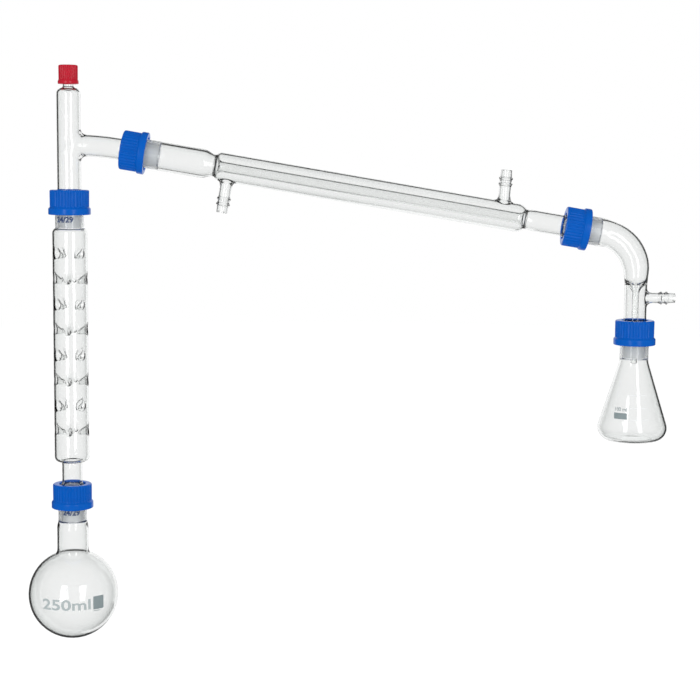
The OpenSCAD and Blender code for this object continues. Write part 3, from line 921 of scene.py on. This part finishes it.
def receiver():
    """Socket, bend, ring seal with its drip tube, vacuum nozzle and cone, as one blown piece."""
    turn = math.pi / 2 - SLOPE
    tangent = BEND_R * math.tan(turn / 2)
    straight = BEND_REACH - tangent
    start = tuple(RECEIVER.translation / MM)
    corner = Vector(start) + DOWNHILL * BEND_REACH
    lower = straight + BEND_R * turn - tangent
    seal = lower + SEAL_DEPTH
    rim = lower + OUTLET_DROP
    drip_end = rim + JOINT_LENGTH + DRIP_PAST
    socket_x = Vector(RECEIVER.col[0][:3])
    tube = [
        (SOCKET_R, 25), (SOCKET_R, GROUND_END + 1), (BEND_TUBE_R, GROUND_END + 7),
        (BEND_TUBE_R + 0.4, GROUND_END + 30), (BEND_TUBE_R, seal - SEAL_TAPER),
        (OUTLET_TUBE_R + 0.1, seal - 0.5), (OUTLET_TUBE_R, seal + 2), (OUTLET_TUBE_R, rim - 10),
    ]
    upper = [
        (SOCKET_BORE_R, 28), (SOCKET_BORE_R, GROUND_END + 1), (BEND_TUBE_R - WALL, GROUND_END + 7),
        (BEND_TUBE_R - WALL + 0.4, GROUND_END + 30), (BEND_TUBE_R - WALL, seal - SEAL_TAPER),
        (OUTLET_TUBE_R - WALL, seal - 1.5),
        (DRIP_BORE_R, seal + FUNNEL_END - 2), (DRIP_BORE_R, drip_end + 3),
    ]
    web_r = OUTLET_TUBE_R - 0.3
    drip = [(web_r, seal - 2), (web_r, seal), (DRIP_R, seal + FUNNEL_END), (DRIP_R, drip_end)]

    def field(p):
        r, a = along_bend(p, start, tuple(DOWNHILL), straight, BEND_R, turn)
        across = (p[0] - start[0]) * socket_x.x + (p[2] - start[2]) * socket_x.z
        angle = np.arctan2(-p[1], across)
        outside = np.minimum(turned(r, a, tube, fillet=3), socket_along(r, a, angle, 28))
        outside = np.minimum(outside, cone_along(r, a, rim, OUTLET_TUBE_R))
        rv, av = along(p, (corner.x, 0, corner.z - VACUUM_DROP), (1, 0, 0))
        outside = melt(outside, nozzle_along(rv, av, OUTLET_TUBE_R, VACUUM_REACH, VACUUM_NOZZLE_R), 3)
        funnel = turned(r, a, drip, fillet=3)
        above = np.minimum(turned(r, a, upper, fillet=3), socket_bore_along(r, a, SOCKET_BORE_R, 29.5))
        below = np.minimum(
            turned(r, a, [(OUTLET_TUBE_R - WALL, seal + 0.9), (OUTLET_TUBE_R - WALL, rim - 10)]),
            cone_bore_along(r, a, rim, OUTLET_TUBE_R),
        )
        below = carve(below, funnel, 1.0)
        below = melt(below, np.maximum(rod(rv, av, 6, VACUUM_REACH + 2, VACUUM_BORE_R), 6 - av), 1.5)
        return carve(carve(np.minimum(outside, funnel), above), below)

    x, z = corner.x, corner.z
    xs = steps(
        (start[0] - 3, 0.7), (start[0] + 17, 0.9), (x - 15, 0.55), (x + 13, 0.5), (x + VACUUM_REACH + 1, 0),
    )
    ys = steps((-15.2, 0.55), (15.2, 0))
    zs = steps(
        (z - OUTLET_DROP - JOINT_LENGTH - DRIP_PAST - 1, 0.6), (z - OUTLET_DROP - JOINT_LENGTH + 1, 2.4),
        (z - OUTLET_DROP - 2, 0.6), (z - OUTLET_DROP + 8, 1.8), (z - VACUUM_DROP - 9, 0.6),
        (z - SEAL_DEPTH + 2, 0.75), (start[2] + 16, 0),
    )
    points, quads, normals = skin(field, xs, ys, zs)

    def zones(p):
        r, a = along_bend(p.T, start, tuple(DOWNHILL), straight, BEND_R, turn)
        return is_ground(r, a) | is_ground(r, a - rim)

    world = Matrix.Identity(4)
    piece = add_mesh(
        "receiver_glass", points, quads, world, "receiver", [GLASS, FROST], zones, normals=normals
    )
    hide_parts("receiver_adapter", "drip_tube", "vacuum_nozzle")


# ---------------------------------------------------------------- screw caps

def screw_cap(name, body, place, top, height, r, skirt_r, skirt, bore_r, hole_r, ribs, lid, thread, plastic):
    """A ribbed cap with a smooth skirt, a hole in its lid and a low thread in its bore."""
    low = top - height
    outline = rounded([
        (bore_r + 0.5, low, 0), (skirt_r, low, 0.9), (skirt_r, low + skirt, 1.3),
        (r - 0.1, low + skirt + 0.8, 0.8), (r, top, 1.6), (hole_r, top, 0.9), (hole_r, top - lid, 0.5),
        (bore_r, top - lid, 0.3), (bore_r, low + 1, 0.3),
    ])
    vertices, faces = lathe(refined(outline, 0.7), ribs * 8)
    radius, angle = polar(vertices)
    z = vertices[:, 2]
    rib = (0.5 - 0.5 * np.cos(ribs * angle)) ** 1.2
    groove = RIB_DEPTH * rib * fade(z, low + skirt + 0.6, low + skirt + 2.2) * fade(top - z, 0.3, 1.8)
    crest = 0.35 * ridge(angle, z, thread) * fade(z, low + 1.5, low + 3) * fade(top - lid - z, 0.6, 2)
    out = np.where(radius > r - RIB_DEPTH, -groove, 0) - np.where(abs(radius - bore_r) < 0.05, crest, 0)
    return add_mesh(name, widened(vertices, out), faces, place, body, [plastic])


def all_caps():
    for part, place in RIMS.items():
        cap = screw_cap(
            part + "_cap_ribbed", part + "_cap", place, top=CAP_TOP, height=CAP_HEIGHT, r=CAP_R,
            skirt_r=CAP_SKIRT_R, skirt=CAP_SKIRT, bore_r=CAP_BORE_R, hole_r=CAP_HOLE_R, ribs=CAP_RIBS,
            lid=1.8, thread=THREAD_PITCH, plastic=BLUE,
        )
        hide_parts(part + "_cap")
    cap = screw_cap(
        "thermometer_cap_ribbed", "thermometer_cap", Matrix.Identity(4),
        top=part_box("thermometer_cap")[1].z / MM, height=PORT_CAP_HEIGHT, r=PORT_CAP_R,
        skirt_r=PORT_CAP_SKIRT_R, skirt=PORT_CAP_SKIRT, bore_r=PORT_R + 0.4, hole_r=PORT_CAP_HOLE_R,
        ribs=PORT_CAP_RIBS, lid=2, thread=PORT_PITCH, plastic=RED,
    )
    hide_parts("thermometer_cap")


# ---------------------------------------------------------------- printed marks

FRONT = -math.pi / 2


def wrapped(flat, radius_at):
    """Points (across, height, proud) laid round an axis, across 0 facing the front."""
    r = radius_at(flat[:, 1])
    turn = FRONT + flat[:, 0] / r
    r = r + flat[:, 2]
    return np.stack([r * np.cos(turn), r * np.sin(turn), flat[:, 1]], 1)


def lettering(words, size, centre, middle, bold=0.1, stretch=1.0, proud=0.12):
    """The flat mesh of a line of text, as (across, height, proud) points in millimetres and faces."""
    curve = bpy.data.curves.new("marks", "FONT")
    curve.offset = bold
    curve.body = words
    curve.size = size
    curve.align_x = "CENTER"
    curve.align_y = "CENTER"
    curve.extrude = 0.02
    curve.resolution_u = 5
    text = bpy.data.objects.new("marks", curve)
    bpy.context.scene.collection.objects.link(text)
    bpy.context.view_layer.update()
    mesh = bpy.data.meshes.new_from_object(text.evaluated_get(bpy.context.evaluated_depsgraph_get()))
    points = np.array([v.co[:] for v in mesh.vertices])
    faces = [list(f.vertices) for f in mesh.polygons]
    bpy.data.objects.remove(text)
    bpy.data.meshes.remove(mesh)
    points = np.stack([points[:, 0] * stretch + centre, points[:, 1] + middle, points[:, 2] + proud], 1)
    return points, faces


def bars(strips):
    """Flat printed bars (left, right, low, high), cut fine enough to lie on a curved wall."""
    points = []
    faces = []
    for left, right, low, high in strips:
        count = max(2, math.ceil((right - left) / 0.5))
        rows = max(2, math.ceil((high - low) / 0.8) + 1)
        first = len(points)
        for z in np.linspace(low, high, rows):
            points += [(x, z, 0.06) for x in np.linspace(left, right, count)]
        for row in range(rows - 1):
            for i in range(count - 1):
                a = first + row * count + i
                faces.append([a, a + 1, a + count + 1, a + count])
    return np.array(points), faces


def marks(name, parts, radius_at, place, body, material):
    """Printed marks wrapped on the front of a turned piece."""
    points = []
    faces = []
    for flat, own in parts:
        faces += [[v + len(points) for v in f] for f in own]
        points += wrapped(flat, radius_at).tolist()
    return add_mesh(name, np.array(points), faces, place, body, [material], smooth=False)


def size_marks():
    """The joint's size on two sockets, printed below the caps."""
    for part, place, centre, middle in (("column", COLUMN, -2.8, -22), ("flask", FLASK, 0.8, -20.6)):
        text = lettering("24/29", 7.2, centre, middle, bold=0.24, proud=0.22)
        marks(part + "_size_mark", [text], lambda z: np.full_like(z, SOCKET_R), place, part, BLUE_INK)


def ball_marks():
    """The volume and a patch to write on, on the ball."""
    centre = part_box("boiling_flask")[0].z / MM + BALL_R - RIM_Z

    def ball_r(z):
        return np.sqrt(BALL_R ** 2 - (z - centre) ** 2)

    text = lettering("250ml", 14, -0.3, centre - 1.4, bold=0.3, stretch=1.38)
    marks("ball_volume_mark", [text], ball_r, FLASK, "flask", PALE_INK)
    patch = bars([(25.5, 37, centre - 6.6, centre + 6), (25.5, 33, centre - 8.2, centre - 7.6)])
    marks("ball_writing_patch", [patch], ball_r, FLASK, "flask", GREY_INK)


def conical_marks():
    """Graduations, the volume and a writing patch on the conical flask."""
    base = -CONICAL_HEIGHT
    foot_z = base + CONICAL_CORNER_R
    top_z = -GROUND_END - 4
    x = CONICAL_R - CONICAL_CORNER_R
    lean = math.atan((CONICAL_R - SOCKET_R) / (top_z - foot_z))

    def cone_r(z):
        foot_r = x + CONICAL_CORNER_R * math.cos(lean)
        foot = foot_z + CONICAL_CORNER_R * math.sin(lean)
        return foot_r + (z - foot) / (top_z - foot) * (SOCKET_R - foot_r)

    lines = [(-7, 10, base + z, base + z + 0.4) for z in (23.2, 33.4, 45.1)]
    marks("conical_graduations", [bars(lines)], cone_r, CONICAL, "conical", FAINT_INK)
    text = lettering("100 ml", 4.8, -15.6, base + 32.2, bold=0.06, stretch=0.95)
    marks("conical_volume_mark", [text], cone_r, CONICAL, "conical", GREY_INK)
    patch = bars([(-22.6, -9.6, base + 23.5, base + 29)])
    marks("conical_writing_patch", [patch], cone_r, CONICAL, "conical", GREY_INK)


# ---------------------------------------------------------------- building

boiling_flask()
vigreux_column()
still_head()
condenser()
receiver()
conical_flask()
all_caps()
size_marks()
ball_marks()
conical_marks()

# The rings, seals and washer are shown as they were designed
kept = {"thermometer_seal": SILICONE, "thermometer_washer": PTFE}
for part in RIMS:
    kept[part + "_ring"] = DARK_BLUE
    kept[part + "_seal"] = SILICONE
for node, material in kept.items():
    frame["nodes"][node].data.materials.clear()
    frame["nodes"][node].data.materials.append(material)

# Glass throws no solid shadow
for piece in bpy.data.objects:
    if piece.name.endswith("_glass"):
        piece.visible_shadow = False
        piece.visible_diffuse = False


# ---------------------------------------------------------------- studio

# How bright the surroundings are for light the glass has bounced sideways, and for the diffuse surfaces
DARK_SIDE = 0.05
AMBIENT = 1.04


def studio_world():
    """White where one looks past or straight through the object, dim in its reflections."""
    world = bpy.data.worlds.new("studio")
    bpy.context.scene.world = world
    world.use_nodes = True
    nodes, links = world.node_tree.nodes, world.node_tree.links
    background = nodes["Background"]
    background.inputs["Color"].default_value = (1, 1, 1, 1)
    path = nodes.new("ShaderNodeLightPath")
    strength = 1.0
    for depth, value in (("Glossy Depth", DARK_SIDE), ("Diffuse Depth", AMBIENT)):
        after = nodes.new("ShaderNodeMath")
        after.operation = "GREATER_THAN"
        after.inputs[1].default_value = 0.5
        links.new(path.outputs[depth], after.inputs[0])
        mix = nodes.new("ShaderNodeMix")
        mix.data_type = "FLOAT"
        mix.inputs[3].default_value = value
        links.new(after.outputs[0], mix.inputs[0])
        if isinstance(strength, float):
            mix.inputs[2].default_value = strength
        else:
            links.new(strength, mix.inputs[2])
        strength = mix.outputs[0]
    links.new(strength, background.inputs["Strength"])


studio_world()

middle = Vector(((cad_box[0][0] + cad_box[1][0]) / 2, 0, (cad_box[0][2] + cad_box[1][2]) / 2))


def softbox(name, offset, width, height, power):
    light = bpy.data.lights.new(name, "AREA")
    light.shape = "RECTANGLE"
    light.size = width
    light.size_y = height
    light.energy = power
    lamp = bpy.data.objects.new(name, light)
    bpy.context.scene.collection.objects.link(lamp)
    lamp.location = middle + Vector(offset)
    lamp.rotation_euler = (-Vector(offset)).to_track_quat("-Z", "Y").to_euler()


softbox("left_softbox", (-0.9, -1.9, 0.25), width=0.5, height=1.5, power=9)
softbox("right_softbox", (0.9, -1.9, 0.25), width=0.5, height=1.5, power=9)


def backdrop(name, width, height, offset):
    """A glowing white wall behind the object, seen only in its gloss and through its glass."""
    place = middle + Vector(offset)
    bpy.ops.mesh.primitive_plane_add(size=1, location=place, rotation=(math.pi / 2, 0, 0))
    wall = bpy.context.object
    wall.name = name
    wall.scale = (width, height, 1)
    material = bpy.data.materials.new(name + "_light")
    material.use_nodes = True
    tree = material.node_tree
    tree.nodes.remove(tree.nodes["Principled BSDF"])
    glow = tree.nodes.new("ShaderNodeEmission")
    tree.links.new(glow.outputs[0], tree.nodes["Material Output"].inputs["Surface"])
    wall.data.materials.append(material)
    wall.visible_camera = False
    wall.visible_diffuse = False
    wall.visible_shadow = False


backdrop("backdrop", width=1.1, height=1.12, offset=(0, 0.8, -0.06))
backdrop("lower_backdrop", width=0.3, height=1.3, offset=(0.01, 0.8, -1.27))

# A pale floor just under the ball, kept out of the glass
floor_z = cad_box[0][2] - 0.0005
bpy.ops.mesh.primitive_circle_add(vertices=96, radius=3, fill_type="NGON", location=(middle.x, 0, floor_z))
floor = bpy.context.object
floor.name = "floor"
paper = principled("paper", (0.97, 0.97, 0.97), 0.9, Specular_IOR_Level=0)[0]
floor.data.materials.append(paper)
floor.visible_glossy = False
floor.visible_transmission = False

# ---------------------------------------------------------------- camera

PICTURE_WIDTH = 700
FOCAL_LENGTH = 1700
SENSOR_MM = 36
LOOK_DOWN = 6.7
ROLL = 0.5

camera_data = bpy.data.cameras.new("camera")
camera_data.lens = SENSOR_MM * FOCAL_LENGTH / PICTURE_WIDTH
camera_data.clip_end = 50
camera = bpy.data.objects.new("camera", camera_data)
bpy.context.scene.collection.objects.link(camera)
turn = Matrix.Rotation(math.radians(90 - LOOK_DOWN), 4, "X") @ Matrix.Rotation(math.radians(ROLL), 4, "Z")
camera.matrix_world = Matrix.Translation((0.262, -1.5855, 0.3706)) @ turn
bpy.context.scene.camera = camera
bpy.context.scene.view_settings.view_transform = "Standard"
